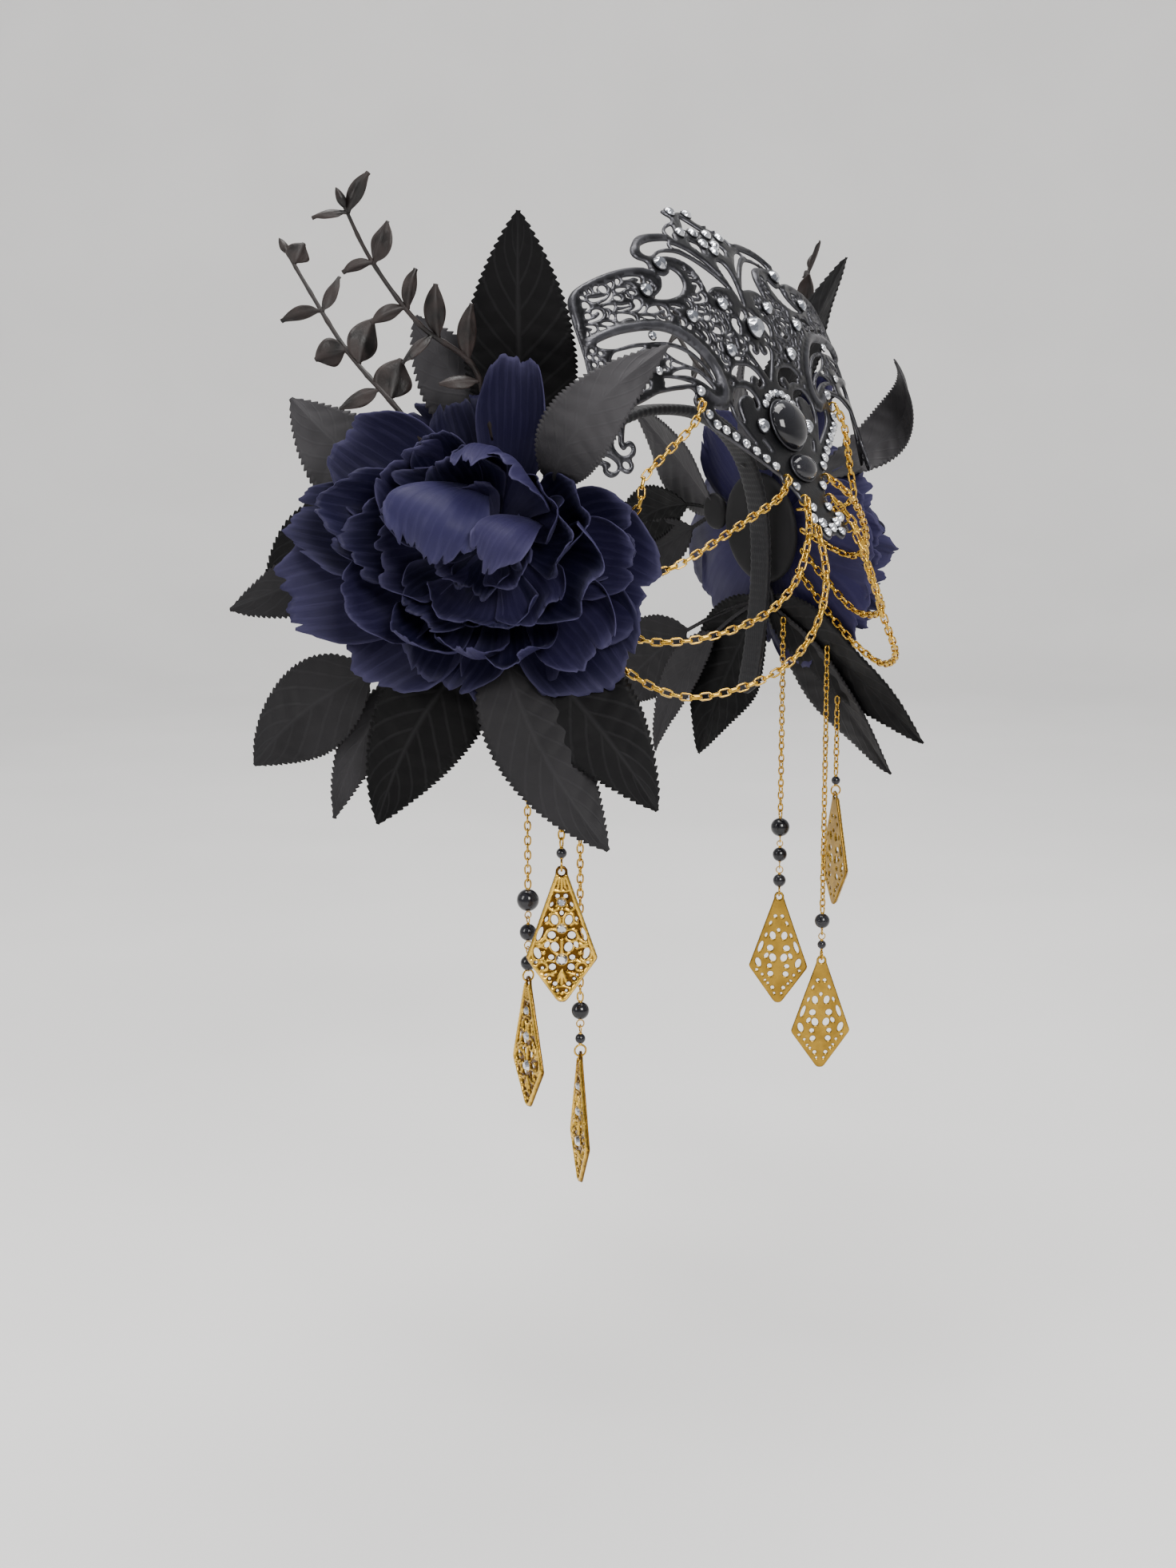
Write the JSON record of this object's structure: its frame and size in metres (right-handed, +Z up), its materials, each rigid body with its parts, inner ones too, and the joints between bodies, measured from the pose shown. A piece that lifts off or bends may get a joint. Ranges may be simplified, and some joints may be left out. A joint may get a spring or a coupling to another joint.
{
  "type": "diadem with silk flowers, chains and drop pendants",
  "caption": "Tall pierced metal diadem with clear stones, silk flowers and leaves at both temples, draped gold chains and hanging kite-shaped pendants.",
  "frame": {"origin": "middle of the head's width, on the front edge line of the hoop above the brow, where the wearer's head carries the piece", "axes": "+Z up, -Y to the front of the wearer's face, +X to the wearer's left, with the two halves mirrored about X = 0"},
  "size_m": [0.306, 0.1943, 0.3407],
  "materials": {
    "black_plate": "satin gunmetal, cast relief",
    "black_glass": "polished black cabochon",
    "clear_stone": "clear foiled cut stone",
    "band_cloth": "ribbed black cloth over a sprung hoop",
    "navy_silk": "dark navy satin petals",
    "black_leaf": "matt black stiffened cloth leaves",
    "brown_twig": "dull dark brown stems",
    "gold_chain": "old gold chain",
    "gold_stamping": "old gold stamped filigree"
  },
  "bodies": {
    "diadem": {"big_cabochon": "black_glass", "chain_a_l": "gold_chain", "chain_a_r": "gold_chain", "chain_b_l": "gold_chain", "chain_b_r": "gold_chain", "chain_c_l": "gold_chain", "chain_c_r": "gold_chain", "chain_d_l": "gold_chain", "chain_d_r": "gold_chain", "crown_plate": "black_plate", "flower_base_l": "black_leaf", "flower_base_r": "black_leaf", "flower_heart_l": "navy_silk", "flower_heart_r": "navy_silk", "head_band": "band_cloth", "leaf_front_l": "black_leaf", "leaf_front_r": "black_leaf", "leaf_spray_back_l": "black_leaf", "leaf_spray_back_r": "black_leaf", "leaf_spray_low_l": "black_leaf", "leaf_spray_low_r": "black_leaf", "leaf_spray_top_l": "black_leaf", "leaf_spray_top_r": "black_leaf", "petals_inner_l": "navy_silk", "petals_inner_r": "navy_silk", "petals_middle_l": "navy_silk", "petals_middle_r": "navy_silk", "petals_outer_l": "navy_silk", "petals_outer_r": "navy_silk", "small_cabochon": "black_glass", "stone_brow_l": "clear_stone", "stone_brow_r": "clear_stone", "stone_cap_l": "clear_stone", "stone_cap_r": "clear_stone", "stone_centre": "clear_stone", "stone_curl_l": "clear_stone", "stone_curl_r": "clear_stone", "stone_rim_l": "clear_stone", "stone_rim_r": "clear_stone", "stone_side_l": "clear_stone", "stone_side_r": "clear_stone", "stone_wing_l": "clear_stone", "stone_wing_r": "clear_stone", "strand_a_l": "gold_chain", "strand_a_r": "gold_chain", "strand_b_l": "gold_chain", "strand_b_r": "gold_chain", "strand_c_l": "gold_chain", "strand_c_r": "gold_chain", "twig_short_l": "brown_twig", "twig_short_r": "brown_twig", "twig_tall_l": "brown_twig", "twig_tall_r": "brown_twig"},
    "pendant_a_r": {"kite_a_r": "gold_stamping"},
    "pendant_b_r": {"kite_b_r": "gold_stamping"},
    "pendant_c_r": {"kite_c_r": "gold_stamping"},
    "pendant_a_l": {"kite_a_l": "gold_stamping"},
    "pendant_b_l": {"kite_b_l": "gold_stamping"},
    "pendant_c_l": {"kite_c_l": "gold_stamping"}
  },
  "joints": [
    {"name": "pendant_a_r_swing", "type": "hinge", "parent": "diadem", "child": "pendant_a_r", "pos_m": [-0.0855, -0.005, -0.1964], "axis": [-0.8829, 0.4695, 0], "range_deg": [-25, 25]},
    {"name": "pendant_b_r_swing", "type": "hinge", "parent": "diadem", "child": "pendant_b_r", "pos_m": [-0.094, -0.026, -0.153], "axis": [-0.809, -0.5878, 0], "range_deg": [-25, 25]},
    {"name": "pendant_c_r_swing", "type": "hinge", "parent": "diadem", "child": "pendant_c_r", "pos_m": [-0.084, -0.0265, -0.2202], "axis": [-0.766, 0.6428, 0], "range_deg": [-25, 25]},
    {"name": "pendant_a_l_swing", "type": "hinge", "parent": "diadem", "child": "pendant_a_l", "pos_m": [0.0855, -0.005, -0.1964], "axis": [0.8829, 0.4695, 0], "range_deg": [-25, 25]},
    {"name": "pendant_b_l_swing", "type": "hinge", "parent": "diadem", "child": "pendant_b_l", "pos_m": [0.094, -0.026, -0.153], "axis": [0.809, -0.5878, 0], "range_deg": [-25, 25]},
    {"name": "pendant_c_l_swing", "type": "hinge", "parent": "diadem", "child": "pendant_c_l", "pos_m": [0.084, -0.0265, -0.2202], "axis": [0.766, 0.6428, 0], "range_deg": [-25, 25]}
  ]
}
